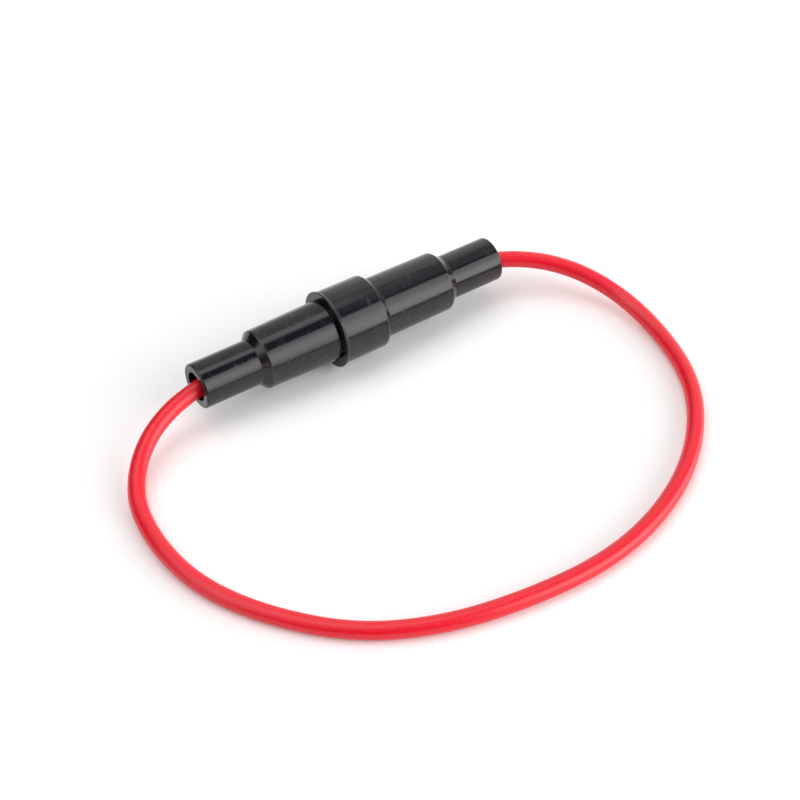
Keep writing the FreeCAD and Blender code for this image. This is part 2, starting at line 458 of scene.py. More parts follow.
class Effects:
    """Node groups that several finishes share, each built once."""

    built: ClassVar[dict[str, bpy.types.NodeTree]] = {}
    octave: ClassVar[float] = 5.0
    coarse_weight: ClassVar[float] = 2.0
    cloud_from: ClassVar[float] = 1.05
    cloud_to: ClassVar[float] = 1.95
    wobble: ClassVar[float] = 0.5
    wobble_per_mm: ClassVar[float] = 0.6
    line_from: ClassVar[float] = 0.56
    line_to: ClassVar[float] = 0.66
    bare_level: ClassVar[float] = 0.78
    cover_drop: ClassVar[float] = 0.4
    patch_contrast: ClassVar[float] = 6.0
    dot_core: ClassVar[float] = 0.03
    dot_rim: ClassVar[float] = 0.09

    @classmethod
    def mottle(cls) -> bpy.types.NodeTree:
        """Soft cloudy value from 0 to 1: two octaves of noise, the coarse one weighted double.

        Returns:
            The group, with the output Cloud.
        """
        if "mottle" not in cls.built:
            sockets = {"Vector": ("Vector", None), "Size": ("Float", 1.0), "Seed": ("Float", 0.0)}
            w, given, out = group("mottle", sockets, ["Cloud"])
            pitch = w.math("DIVIDE", 1.0, given["Size"])
            noise = {"Vector": given["Vector"], "W": given["Seed"], "Detail": 3.0}
            coarse = w.add("ShaderNodeTexNoise", {**noise, "Scale": pitch}, noise_dimensions="4D")
            finer = w.math("MULTIPLY", pitch, cls.octave)
            fine = w.add("ShaderNodeTexNoise", {**noise, "Scale": finer}, noise_dimensions="4D")
            total = w.math("MULTIPLY_ADD", coarse.outputs[0], cls.coarse_weight, fine.outputs[0])
            w.tree.links.new(w.span(total, cls.cloud_from, cls.cloud_to, 0.0, 1.0), out.inputs["Cloud"])
            cls.built["mottle"] = w.tree
        return cls.built["mottle"]

    @classmethod
    def hairlines(cls) -> bpy.types.NodeTree:
        """Fine lines along U, in patches: stretched noise above a level, times a coarse noise mask.

        Returns:
            The group, with the output Lines.
        """
        if "hairlines" not in cls.built:
            sockets = {
                "Vector": ("Vector", None),
                "Lines per mm": ("Float", 8.0),
                "Length mm": ("Float", 2.0),
                "Cover": ("Float", 0.4),
                "Patch mm": ("Float", 3.0),
            }
            w, given, out = group("hairlines", sockets, ["Lines"])
            parts = w.add("ShaderNodeSeparateXYZ", {0: given["Vector"]})
            shift = {"Vector": given["Vector"], "Scale": cls.wobble_per_mm, "Detail": 1.0}
            drift = w.add("ShaderNodeTexNoise", shift)
            u = w.math("DIVIDE", parts.outputs[0], given["Length mm"])
            shifted = w.math("MULTIPLY_ADD", drift.outputs[0], cls.wobble, parts.outputs[1])
            v = w.math("MULTIPLY", shifted, given["Lines per mm"])
            place = w.add("ShaderNodeCombineXYZ", {0: u, 1: v})
            streak = w.add("ShaderNodeTexNoise", {"Vector": place.outputs[0], "Scale": 1.0, "Detail": 2.0})
            pitch = w.math("DIVIDE", 1.0, given["Patch mm"])
            patch = w.add("ShaderNodeTexNoise", {"Vector": given["Vector"], "Scale": pitch, "Detail": 2.0})
            level = w.math("SUBTRACT", cls.bare_level, w.math("MULTIPLY", given["Cover"], cls.cover_drop))
            above = w.math("SUBTRACT", patch.outputs[0], level, clamp=True)
            covered = w.math("MULTIPLY", above, cls.patch_contrast, clamp=True)
            sharp = w.span(streak.outputs[0], cls.line_from, cls.line_to, 0.0, 1.0)
            w.tree.links.new(w.math("MULTIPLY", sharp, covered), out.inputs["Lines"])
            cls.built["hairlines"] = w.tree
        return cls.built["hairlines"]

    @classmethod
    def specks(cls) -> bpy.types.NodeTree:
        """Sparse round dots: cells whose own random value is high, near the cell's point.

        Returns:
            The group, with the output Dots.
        """
        if "specks" not in cls.built:
            sockets = {"Vector": ("Vector", None), "Spacing mm": ("Float", 1.5), "Share": ("Float", 0.1)}
            w, given, out = group("specks", sockets, ["Dots"])
            pitch = w.math("DIVIDE", 1.0, given["Spacing mm"])
            cell = w.add("ShaderNodeTexVoronoi", {"Vector": given["Vector"], "Scale": pitch})
            chance = w.add("ShaderNodeSeparateXYZ", {0: cell.outputs["Color"]})
            chosen = w.math("GREATER_THAN", chance.outputs[0], w.math("SUBTRACT", 1.0, given["Share"]))
            near = w.span(cell.outputs["Distance"], cls.dot_core, cls.dot_rim, 1.0, 0.0)
            w.tree.links.new(w.math("MULTIPLY", chosen, near), out.inputs["Dots"])
            cls.built["specks"] = w.tree
        return cls.built["specks"]


class Finish:
    """Something a piece is made of. A finish builds its material once and hands it out after that."""

    name: str
    built: ClassVar[dict[str, bpy.types.Material]] = {}

    def material(self) -> bpy.types.Material:
        """The finish's own material, never the frame's plain one of the same name.

        Returns:
            The material, wired when it is first asked for.
        """
        if self.name not in Finish.built:
            made = bpy.data.materials.new(f"{self.name}_finish")
            made.use_nodes = True
            self.wire(Wiring(made.node_tree))
            Finish.built[self.name] = made
        return Finish.built[self.name]

    def wire(self, w: Wiring) -> None:
        """Adds the finish's nodes."""
        raise NotImplementedError

    @staticmethod
    def run(w: Wiring) -> bpy.types.NodeSocket:
        """The piece's own UVs, in millimetres round it and along its outline."""
        return w.add("ShaderNodeUVMap", uv_map="Run").outputs[0]

    @staticmethod
    def place(w: Wiring) -> bpy.types.NodeSocket:
        """Object coordinates, in millimetres."""
        metres = w.add("ShaderNodeTexCoord").outputs["Object"]
        return w.scaled(metres, (1 / MM, 1 / MM, 1 / MM))

    @staticmethod
    def effect(w: Wiring, tree: bpy.types.NodeTree, inputs: dict[str, object]) -> bpy.types.NodeSocket:
        """A shared effect with its own values.

        Args:
            w: wiring of the finish's material.
            tree: the effect's group.
            inputs: plain values or output sockets, by input name.

        Returns:
            The effect's value.
        """
        node = w.add("ShaderNodeGroup", node_tree=tree)
        for key, value in inputs.items():
            if isinstance(value, bpy.types.NodeSocket):
                w.tree.links.new(value, node.inputs[key])
            else:
                node.inputs[key].default_value = value
        return node.outputs[0]

    @classmethod
    def cloud(cls, w: Wiring, vector: object, size: float, seed: float) -> bpy.types.NodeSocket:
        """Cloudy value of the given size in millimetres."""
        return cls.effect(w, Effects.mottle(), {"Vector": vector, "Size": size, "Seed": seed})

    @staticmethod
    def surface(w: Wiring, inputs: dict[str, object]) -> None:
        """Principled surface with the given inputs, joined to the output."""
        shader = w.add("ShaderNodeBsdfPrincipled", inputs)
        w.add("ShaderNodeOutputMaterial", {"Surface": shader.outputs[0]})

    @staticmethod
    def bump(w: Wiring, height: object, depth_mm: float) -> bpy.types.NodeSocket:
        """Normal of a height from 0 to 1 that stands for the given depth."""
        node = w.add("ShaderNodeBump", {"Height": height, "Distance": depth_mm * MM, "Strength": 1.0})
        return node.outputs[0]


@dataclass(frozen=True)
class BlackPlastic(Finish):
    """Glossy moulded black plastic with hairline scuffs round it, rubbed edges and a few dust specks."""

    name: str = "black_plastic"
    colour: Colour = (0.0084, 0.0078, 0.0112)
    clouded: Colour = (0.0116, 0.0104, 0.0146)
    rubbed: Colour = (0.060, 0.058, 0.062)
    roughness: float = 0.12
    scuff_roughness: float = 0.42
    ior: float = 1.46
    cloud_size: float = 4.0
    cloud_share: float = 0.25
    cloud_roughness: float = 0.05
    grain_size: float = 0.25
    grain_height: float = 0.12
    scuffs_per_mm: float = 11.0
    scuff_length: float = 2.0
    scuff_cover: float = 0.78
    scuff_patch: float = 2.4
    scuff_share: float = 0.85
    scuff_height: float = 0.5
    edge_wear: float = 0.5
    dust_spacing: float = 2.2
    dust_share: float = 0.035
    depth: float = 0.006

    def wire(self, w: Wiring) -> None:
        """Adds the finish's nodes.

        Scuffs, worn edges and dust together lighten the colour and dull the gloss. The clouds
        vary both a little, and the scuffs are cut into a fine grain.

        Args:
            w: wiring of the finish's material.
        """
        run, place = self.run(w), self.place(w)
        cloud = self.cloud(w, place, self.cloud_size, 2.0)
        grain = self.cloud(w, place, self.grain_size, 7.0)
        scuffs = {
            "Vector": run,
            "Lines per mm": self.scuffs_per_mm,
            "Length mm": self.scuff_length,
            "Cover": self.scuff_cover,
            "Patch mm": self.scuff_patch,
        }
        lines = self.effect(w, Effects.hairlines(), scuffs)
        dust = {"Vector": place, "Spacing mm": self.dust_spacing, "Share": self.dust_share}
        dots = self.effect(w, Effects.specks(), dust)
        edge = w.add("ShaderNodeAttribute", attribute_name="edge").outputs["Fac"]
        worn = w.math("MULTIPLY", w.math("MULTIPLY", edge, cloud), self.edge_wear)
        marks = w.math("MAXIMUM", w.math("MULTIPLY", lines, self.scuff_share), w.math("MAXIMUM", worn, dots))
        base = w.mix(w.math("MULTIPLY", cloud, self.cloud_share), (*self.colour, 1), (*self.clouded, 1))
        lowest = self.roughness - 0.4 * self.cloud_roughness
        rough = w.math("MULTIPLY_ADD", cloud, self.cloud_roughness, lowest)
        rough = w.math("MULTIPLY_ADD", marks, self.scuff_roughness - self.roughness, rough)
        cut = w.math("MULTIPLY", lines, self.scuff_height)
        height = w.math("SUBTRACT", w.math("MULTIPLY", grain, self.grain_height), cut)
        inputs = {"Base Color": w.mix(marks, base, (*self.rubbed, 1)), "Roughness": rough, "IOR": self.ior}
        self.surface(w, {**inputs, "Normal": self.bump(w, height, self.depth)})


@dataclass(frozen=True)
class RedSleeve(Finish):
    """Bright red PVC sleeve, satin, with faint streaks from the extruder along it."""

    name: str = "red_sleeve"
    colour: Colour = (0.88, 0.010, 0.028)
    deep: Colour = (0.81, 0.007, 0.022)
    dust: Colour = (0.72, 0.22, 0.22)
    roughness: float = 0.30
    ior: float = 1.5
    cloud_size: float = 7.0
    cloud_share: float = 0.5
    streak_size: float = 0.5
    streak_stretch: float = 25.0
    streak_share: float = 0.35
    streak_roughness: float = 0.08
    streak_height: float = 0.6
    grain_size: float = 0.18
    grain_roughness: float = 0.06
    grain_height: float = 0.4
    dust_spacing: float = 3.0
    dust_share: float = 0.05
    dust_cover: float = 0.4
    depth: float = 0.010

    def wire(self, w: Wiring) -> None:
        """Adds the finish's nodes.

        Clouds and streaks deepen the colour. Streaks and grain vary the gloss and the surface.

        Args:
            w: wiring of the finish's material.
        """
        run, place = self.run(w), self.place(w)
        cloud = self.cloud(w, place, self.cloud_size, 4.0)
        streak = self.cloud(w, w.scaled(run, (1, 1 / self.streak_stretch, 1)), self.streak_size, 1.0)
        grain = self.cloud(w, place, self.grain_size, 9.0)
        dust = {"Vector": place, "Spacing mm": self.dust_spacing, "Share": self.dust_share}
        dots = self.effect(w, Effects.specks(), dust)
        share = w.math("MULTIPLY_ADD", streak, self.streak_share, w.math("MULTIPLY", cloud, self.cloud_share))
        base = w.mix(share, (*self.colour, 1), (*self.deep, 1))
        lowest = self.roughness - (self.streak_roughness + self.grain_roughness) / 2
        rough = w.math("MULTIPLY_ADD", grain, self.grain_roughness, lowest)
        rough = w.math("MULTIPLY_ADD", streak, self.streak_roughness, rough)
        rise = w.math("MULTIPLY", grain, self.grain_height)
        height = w.math("MULTIPLY_ADD", streak, self.streak_height, rise)
        dusty = w.mix(w.math("MULTIPLY", dots, self.dust_cover), base, (*self.dust, 1))
        inputs = {"Base Color": dusty, "Roughness": rough, "IOR": self.ior}
        self.surface(w, {**inputs, "Normal": self.bump(w, height, self.depth)})


@dataclass(frozen=True)
class DrawnMetal(Finish):
    """Bare metal with fine drawing lines, a cloudy tarnish and a slight grain."""

    name: str
    colour: Colour
    tarnish: Colour
    roughness: float
    lines_per_mm: float = 12.0
    line_length: float = 3.0
    line_cover: float = 0.9
    line_roughness: float = 0.15
    cloud_size: float = 1.6
    cloud_share: float = 0.6
    cloud_roughness: float = 0.14
    grain_size: float = 0.12
    grain_height: float = 0.4
    below: float = 0.05
    depth: float = 0.004

    def wire(self, w: Wiring) -> None:
        """Adds the finish's nodes.

        Clouds carry the colour to the tarnish and dull it, and the drawing lines are cut in.

        Args:
            w: wiring of the finish's material.
        """
        run, place = self.run(w), self.place(w)
        cloud = self.cloud(w, place, self.cloud_size, 5.0)
        marks = {"Vector": run, "Lines per mm": self.lines_per_mm, "Length mm": self.line_length}
        lines = self.effect(w, Effects.hairlines(), {**marks, "Cover": self.line_cover})
        grain = self.cloud(w, place, self.grain_size, 3.0)
        rough = w.math("MULTIPLY_ADD", lines, self.line_roughness, self.roughness - self.below)
        rough = w.math("MULTIPLY_ADD", cloud, self.cloud_roughness, rough)
        height = w.math("SUBTRACT", w.math("MULTIPLY", grain, self.grain_height), lines)
        base = w.mix(w.math("MULTIPLY", cloud, self.cloud_share), (*self.colour, 1), (*self.tarnish, 1))
        inputs = {"Base Color": base, "Metallic": 1.0, "Roughness": rough}
        self.surface(w, {**inputs, "Normal": self.bump(w, height, self.depth)})


@dataclass(frozen=True)
class ClearGlass(Finish):
    """Clear tube glass with a breath of haze."""

    name: str = "fuse_glass"
    colour: Colour = (0.97, 0.99, 0.98)
    ior: float = 1.5
    polish: float = 0.01
    haze_size: float = 2.5
    haze_roughness: float = 0.03

    def wire(self, w: Wiring) -> None:
        """Adds the finish's nodes.

        Args:
            w: wiring of the finish's material.
        """
        haze = self.cloud(w, self.place(w), self.haze_size, 6.0)
        rough = w.math("MULTIPLY_ADD", haze, self.haze_roughness, self.polish)
        inputs = {"Base Color": (*self.colour, 1), "Roughness": rough, "IOR": self.ior}
        self.surface(w, {**inputs, "Transmission Weight": 1.0})


PLASTIC = BlackPlastic()
SLEEVE = RedSleeve()
BRASS = DrawnMetal("contact_brass", (0.80, 0.56, 0.25), (0.52, 0.33, 0.13), 0.24)
COPPER = DrawnMetal("copper_strand", (0.90, 0.48, 0.30), (0.58, 0.27, 0.15), 0.28, 20.0, 1.5)
SOLDER = DrawnMetal("solder", (0.62, 0.62, 0.63), (0.42, 0.42, 0.44), 0.30, 4.0, 1.0)
STEEL = DrawnMetal("spring_steel", (0.58, 0.58, 0.60), (0.36, 0.35, 0.35), 0.22, 22.0, 4.0)
NICKEL = DrawnMetal("cap_nickel", (0.74, 0.71, 0.66), (0.55, 0.52, 0.47), 0.16)
FUSE_WIRE = DrawnMetal("fuse_wire", (0.70, 0.69, 0.67), (0.50, 0.49, 0.47), 0.30, 30.0, 1.0)
GLASS = ClearGlass()


# The holder


@dataclass(frozen=True)
class Stations:
    """Places along the axis and radii that the holder's pieces share, as in the part's source."""

    axis_height: float = 5.72
    plug_end: float = -24.75
    plug_shoulder: float = -14.98
    plug_floor: float = -13.88
    plug_face: float = -3.85
    rim: float = -3.75
    neck_end: float = 0.8
    collar_floor: float = 1.15
    collar_back: float = 3.45
    socket_floor: float = 12.43
    socket_shoulder: float = 15.23
    socket_end: float = 24.75
    fuse_plug: float = -8.1
    fuse_socket: float = 11.9
    plug_contact: float = -8.63
    socket_contact: float = 12.43
    lead_split: float = 20.6
    tip_radius: float = 3.3
    tip_bore: float = 2.11
    bore_chamfer: float = 0.08
    cavity: float = 3.03

    def contact(self, side: Side) -> float:
        """Station of the back face of a side's contact."""
        return self.plug_contact if side is Side.PLUG else self.socket_contact


@dataclass(frozen=True)
class ScrewThread:
    """Right-hand ridges of the screw joint: a trapezoid carried along a helix."""

    start: float
    end: float
    height: float
    phase: float
    pitch: float = 1.5
    half_root: float = 0.36
    half_crest: float = 0.15
    run_out: float = 0.45

    def ridge(self, angle: np.ndarray, x: np.ndarray) -> np.ndarray:
        """Height of the ridge at an angle and station.

        The distance to the nearest crest is that of x / pitch - angle / turn - phase from a whole
        number, times the pitch. The height falls from crest to root over that distance and runs
        out at both ends of the thread.

        Args:
            angle: angles round the axis.
            x: stations.

        Returns:
            The heights.
        """
        turns = (x - self.start) / self.pitch - angle / TURN - self.phase
        away = np.abs(turns - np.round(turns)) * self.pitch
        rise = smooth_step((self.half_root - away) / (self.half_root - self.half_crest))
        inside = smooth_step((x - self.start) / self.run_out) * smooth_step((self.end - x) / self.run_out)
        return self.height * rise * inside


@dataclass
class PlugShell:
    """Moulded plug half: plain tip, coned shoulder, tapered body and threaded neck."""

    stations: Stations
    cone_length: float = 0.97
    shoulder_radius: float = 4.32
    body_radius: float = 4.55
    neck_radius: float = 3.73
    tip_edge: float = 0.28
    shoulder_edge: float = 0.35
    face_edge: float = 0.30
    thread: ScrewThread = ScrewThread(start=-3.5, end=0.45, height=0.30, phase=0.0)

    def relief(self, angle: np.ndarray, place: np.ndarray) -> np.ndarray:
        """Thread ridges that stand out of the neck."""
        on_neck = np.abs(place[..., 1] - self.neck_radius) < ON_SURFACE
        return np.where(on_neck, self.thread.ridge(angle, place[..., 0]), 0.0)

    def outline(self) -> list[Corner]:
        """Corners from the tip's outer edge along the outside and back through the bore.

        Returns:
            The closed outline.
        """
        s = self.stations
        return [
            Corner(s.plug_end, s.tip_radius, self.tip_edge),
            Corner(s.plug_shoulder - self.cone_length, s.tip_radius, 0.05),
            Corner(s.plug_shoulder, self.shoulder_radius, self.shoulder_edge),
            Corner(s.plug_face, self.body_radius, self.face_edge),
            Corner(s.plug_face, self.neck_radius, 0.08, step=0.035),
            Corner(s.neck_end, self.neck_radius, 0.15),
            Corner(s.neck_end, s.cavity, 0.12),
            Corner(s.plug_floor, s.cavity, 0.10),
            Corner(s.plug_floor, s.tip_bore, 0.08),
            Corner(s.plug_end + s.bore_chamfer, s.tip_bore, 0.04),
            Corner(s.plug_end, s.tip_bore + s.bore_chamfer, 0.04),
        ]

    def build(self) -> bpy.types.Object:
        """Makes the shell, which rides on the plug half.

        Returns:
            The shell.
        """
        grid = turned(self.outline(), self.stations.axis_height, around=160, relief=self.relief)
        piece = new_piece("plug_moulding", [grid], PLASTIC, ["plug_shell"])
        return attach(piece, Body.PLUG.value)


@dataclass
class SocketShell:
    """Moulded socket half: rimmed collar with a coned back, tapered body, coned shoulder and plain tip."""

    stations: Stations
    rim_radius: float = 5.72
    rim_crest: float = 0.22
    rim_length: float = 0.5
    collar_cone: float = 0.97
    shoulder_cone: float = 1.37
    collar_front_radius: float = 5.5
    collar_back_radius: float = 5.45
    body_radius: float = 4.52
    shoulder_radius: float = 4.42
    collar_bore: float = 4.13
    mouth_chamfer: float = 0.35
    rim_edge: float = 0.10
    collar_edge: float = 0.30
    shoulder_edge: float = 0.35
    tip_edge: float = 0.28
    thread: ScrewThread = ScrewThread(start=-3.3, end=0.75, height=0.30, phase=0.5 - 0.2 / 1.5)

    def relief(self, angle: np.ndarray, place: np.ndarray) -> np.ndarray:
        """Thread ridges that stand into the collar's bore."""
        on_bore = np.abs(place[..., 1] - self.collar_bore) < ON_SURFACE
        return np.where(on_bore, -self.thread.ridge(angle, place[..., 0]), 0.0)

    def outline(self) -> list[Corner]:
        """Corners from the rim along the outside to the tip and back through the bore.

        Returns:
            The closed outline.
        """
        s = self.stations
        return [
            Corner(s.rim, self.rim_radius, self.rim_edge),
            Corner(s.rim + self.rim_crest, self.rim_radius, self.rim_edge),
            Corner(s.rim + self.rim_length, self.collar_front_radius, 0.25),
            Corner(s.collar_back, self.collar_back_radius, self.collar_edge),
            Corner(s.collar_back + self.collar_cone, self.body_radius, 0.08),
            Corner(s.socket_shoulder, self.shoulder_radius, self.shoulder_edge),
            Corner(s.socket_shoulder + self.shoulder_cone, s.tip_radius, 0.08),
            Corner(s.socket_end, s.tip_radius, self.tip_edge),
            Corner(s.socket_end, s.tip_bore + s.bore_chamfer, 0.04),
            Corner(s.socket_end - s.bore_chamfer, s.tip_bore, 0.04),
            Corner(s.socket_floor, s.tip_bore, 0.08),
            Corner(s.socket_floor, s.cavity, 0.10),
            Corner(s.collar_floor, s.cavity, 0.10),
            Corner(s.collar_floor, self.collar_bore, 0.08, step=0.035),
            Corner(s.rim + self.mouth_chamfer, self.collar_bore, 0.08),
            Corner(s.rim, self.collar_bore + self.mouth_chamfer, 0.08),
        ]

    def build(self) -> bpy.types.Object:
        """Makes the shell, which rides on the socket half.

        Returns:
            The shell.
        """
        grid = turned(self.outline(), self.stations.axis_height, around=160, relief=self.relief)
        piece = new_piece("socket_moulding", [grid], PLASTIC, ["socket_shell"])
        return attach(piece, Body.SOCKET.value)


@dataclass
class Contact:
    """Drawn brass cup over a fuse cap, its crimped tail, the bared strands and their solder."""

    stations: Stations
    side: Side
    cup_inner: float = 2.68
    cup_outer: float = 2.93
    cup_depth: float = 2.5
    cup_base: float = 0.45
    tail_bore: float = 0.795
    tail_radius: float = 1.145
    tail_length: float = 3.2
    dent_depth: float = 0.11
    dent_angle: float = 0.6
    dent_width: float = 0.55
    dent_reach: float = 0.05
    strip_length: float = 0.8
    strand_start: float = 0.05
    strand_radius: float = 0.24
    strand_ring: float = 0.5
    strand_count: int = 6
    strand_points: int = 26
    twist_length: float = 14.0
    fillet_inset: float = 0.03
    fillet_height: float = 0.2
    fillet_crown: tuple[float, float] = (0.22, 0.16)
    fillet_toe: tuple[float, float] = (0.6, 0.06)
    sleeve_radius: float = 1.21

    def at(self, x: float) -> float:
        """Station at a distance outward of the contact's back face."""
        return self.stations.contact(self.side) + self.side.outward * x

    def dents(self, angle: np.ndarray, place: np.ndarray) -> np.ndarray:
        """Two crimp dents on opposite sides of the tail: a cosine to the sixth, times a bell along X.

        Args:
            angle: angles round the axis.
            place: stations and radii of the outline.

        Returns:
            What is added to the radius.
        """
        away = (place[..., 0] - self.at(self.tail_length / 2)) / self.dent_width
        depth = self.dent_depth * np.cos(angle - self.dent_angle) ** 6 * np.exp(-away * away)
        outer = np.abs(place[..., 1] - self.tail_radius) < self.dent_reach
        return np.where(outer, -depth, 0.0)

    def cup(self) -> Grid:
        """Cup and tail in one outline, from the axis inside the cup to the axis inside the tail.

        Returns:
            The turned surface.
        """
        lip = -self.cup_base - self.cup_depth
        corners = [
            Corner(self.at(0), 0.0),
            Corner(self.at(0), self.tail_bore, 0.05),
            Corner(self.at(self.tail_length), self.tail_bore, 0.05),
            Corner(self.at(self.tail_length), self.tail_radius, 0.08, step=0.12),
            Corner(self.at(0), self.tail_radius, 0.10),
            Corner(self.at(0), self.cup_outer, 0.22),
            Corner(self.at(lip), self.cup_outer, 0.11),
            Corner(self.at(lip), self.cup_inner, 0.11),
            Corner(self.at(-self.cup_base), self.cup_inner, 0.15),
            Corner(self.at(-self.cup_base), 0.0),
        ]
        return turned(corners, self.stations.axis_height, closed=False, around=72, relief=self.dents)

    def strand(self, ring: float, angle: float) -> Grid:
        """One strand, straight in the middle or wound round it.

        A point is at the angle plus a turn for each twist length, on the ring about the axis.

        Args:
            ring: radius of the ring that the strand lies on.
            angle: where on the ring it starts.

        Returns:
            The strand's surface.
        """
        x = np.linspace(self.strand_start, self.tail_length + self.strip_length, self.strand_points)
        turn = angle + TURN * x / self.twist_length
        radial = np.stack([0 * x, -np.sin(turn), np.cos(turn)], axis=1)
        across = np.stack([0 * x, np.cos(turn), np.sin(turn)], axis=1)
        height = 0 * x + self.stations.axis_height
        middle = np.stack([self.at(0) + self.side.outward * x, 0 * x, height], axis=1)
        return tube(middle + ring * radial, radial, across, self.strand_radius, around=12)

    def strands(self) -> list[Grid]:
        """The middle strand and the ring of strands round it."""
        ring = [self.strand(self.strand_ring, TURN * i / self.strand_count) for i in range(self.strand_count)]
        return [self.strand(0.0, 0.0), *ring]

    @staticmethod
    def unevenness(angle: np.ndarray, place: np.ndarray) -> np.ndarray:
        """Waves in the solder: three round the axis that lean along X, and five shallower ones."""
        return 0.02 * np.sin(3 * angle + 9 * place[..., 0]) + 0.015 * np.sin(5 * angle)

    def solder(self) -> Grid:
        """Fillet of solder from the tail's end over its crown to its toe on the strands.

        Returns:
            The turned surface, a little uneven.
        """
        foot = self.tail_bore - self.fillet_inset
        (crown_x, crown), (toe_x, toe) = self.fillet_crown, self.fillet_toe
        corners = [
            Corner(self.at(self.tail_length), foot, 0.03),
            Corner(self.at(self.tail_length), foot + self.fillet_height, 0.05, step=0.1),
            Corner(self.at(self.tail_length + crown_x), foot + crown, 0.1, step=0.1),
            Corner(self.at(self.tail_length + toe_x), foot + toe, 0.03),
            Corner(self.at(self.tail_length + toe_x), foot, 0.02),
        ]
        return turned(corners, self.stations.axis_height, around=48, relief=self.unevenness)

    def sleeve_end(self) -> Grid:
        """Sleeved lead inside the tip, from its cut end to where the loop begins.

        Returns:
            The turned surface.
        """
        start = self.at(self.tail_length + self.strip_length)
        end = self.side.outward * self.stations.lead_split
        corners = [
            Corner(start, 0.0),
            Corner(start, self.sleeve_radius, 0.10),
            Corner(end, self.sleeve_radius, 0.02),
            Corner(end, 0.0),
        ]
        return turned(corners, self.stations.axis_height, closed=False, around=40)

    def build(self) -> list[bpy.types.Object]:
        """Makes the contact's pieces, which ride with that side's lead.

        Returns:
            The cup, the strands, the solder and the sleeve.
        """
        label = self.side.label
        pieces = [
            new_piece(f"{label}_cup", [self.cup()], BRASS, [f"{label}_contact"]),
            new_piece(f"{label}_copper", self.strands(), COPPER, [f"{label}_strands"]),
            new_piece(f"{label}_solder_fillet", [self.solder()], SOLDER, [f"{label}_solder"]),
            new_piece(f"{label}_sleeve", [self.sleeve_end()], SLEEVE, [f"{label}_lead_end"]),
        ]
        return [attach(piece, self.side.body.value) for piece in pieces]


@dataclass
class Cartridge:
    """Glass cartridge fuse: tube, two nickelled caps and the fine wire between them."""

    stations: Stations
    cap_radius: float = 2.6
    cap_length: float = 5.2
    cap_wall: float = 0.12
    cap_end: float = 0.3
    dimple_depth: float = 0.06
    dimple_floor: float = 0.5
    dimple_radius: float = 0.9
    groove_depth: float = 0.05
    groove_setback: float = 0.9
    groove_width: float = 0.16
    glass_radius: float = 2.45
    glass_wall: float = 0.45
    glass_polish: float = 0.15
    wire_radius: float = 0.12
    wire_sag: float = 0.35
    wire_sway: float = 0.08
    wire_half_waves: int = 5
    wire_points: int = 60

    def cap(self, end: float, inward: float) -> Grid:
        """Thimble with a dimpled closed end and a rolled groove near its mouth.

        Args:
            end: station of the closed end.
            inward: sign of X from that end to the mouth.

        Returns:
            The turned surface.
        """
        def groove(angle: np.ndarray, place: np.ndarray) -> np.ndarray:
            """Bell-shaped groove round the cap."""
            middle = end + inward * (self.cap_length - self.groove_setback)
            away = (place[..., 0] - middle) / self.groove_width
            outer = np.abs(place[..., 1] - self.cap_radius) < ON_SURFACE
            return np.where(outer, -self.groove_depth * np.exp(-away * away), 0.0) + 0 * angle

        inner = self.cap_radius - self.cap_wall
        corners = [
            Corner(end + inward * self.dimple_depth, 0.0),
            Corner(end + inward * self.dimple_depth, self.dimple_floor, 0.3),
            Corner(end, self.dimple_radius, 0.4),
            Corner(end, self.cap_radius, 0.25, step=0.06),
            Corner(end + inward * self.cap_length, self.cap_radius, 0.05),
            Corner(end + inward * self.cap_length, inner, 0.05),
            Corner(end + inward * self.cap_end, inner, 0.15),
            Corner(end + inward * self.cap_end, 0.0),
        ]
        return turned(corners, self.stations.axis_height, closed=False, around=96, relief=groove)

    def tube(self) -> Grid:
        """Glass tube with fire-polished ends.

        Returns:
            The turned surface.
        """
        start = self.stations.fuse_plug + self.cap_end
        end = self.stations.fuse_socket - self.cap_end
        inner = self.glass_radius - self.glass_wall
        ring = [(start, self.glass_radius), (end, self.glass_radius), (end, inner), (start, inner)]
        corners = [Corner(x, radius, self.glass_polish) for x, radius in ring]
        return turned(corners, self.stations.axis_height, around=96)

    def wire(self) -> Grid:
        """Fuse wire between the caps, drooping by a parabola of the given sag.

        Returns:
            The wire's surface.
        """
        start = self.stations.fuse_plug + self.cap_end
        end = self.stations.fuse_socket - self.cap_end
        t = np.linspace(0, 1, self.wire_points)
        x = start + t * (end - start)
        y = self.wire_sway * np.sin(self.wire_half_waves * t * math.pi)
        z = self.stations.axis_height - self.wire_sag * 4 * t * (1 - t)
        path = np.stack([x, y, z], axis=1)
        side = np.broadcast_to([0.0, 1.0, 0.0], path.shape)
        lift = np.broadcast_to([0.0, 0.0, 1.0], path.shape)
        return tube(path, side, lift, self.wire_radius, around=10)

    def build(self) -> list[bpy.types.Object]:
        """Makes the fuse, which stays in the socket half.

        Returns:
            The two caps, the tube and the wire.
        """
        near = self.cap(self.stations.fuse_plug, 1.0)
        far = self.cap(self.stations.fuse_socket, -1.0)
        pieces = [
            new_piece("fuse_cap_near", [near], NICKEL, ["fuse_cap_plug"]),
            new_piece("fuse_cap_far", [far], NICKEL, ["fuse_cap_socket"]),
            new_piece("fuse_tube", [self.tube()], GLASS, ["fuse_glass"]),
            new_piece("fuse_filament", [self.wire()], FUSE_WIRE, ["fuse_element"]),
        ]
        return [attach(piece, Body.SOCKET.value) for piece in pieces]


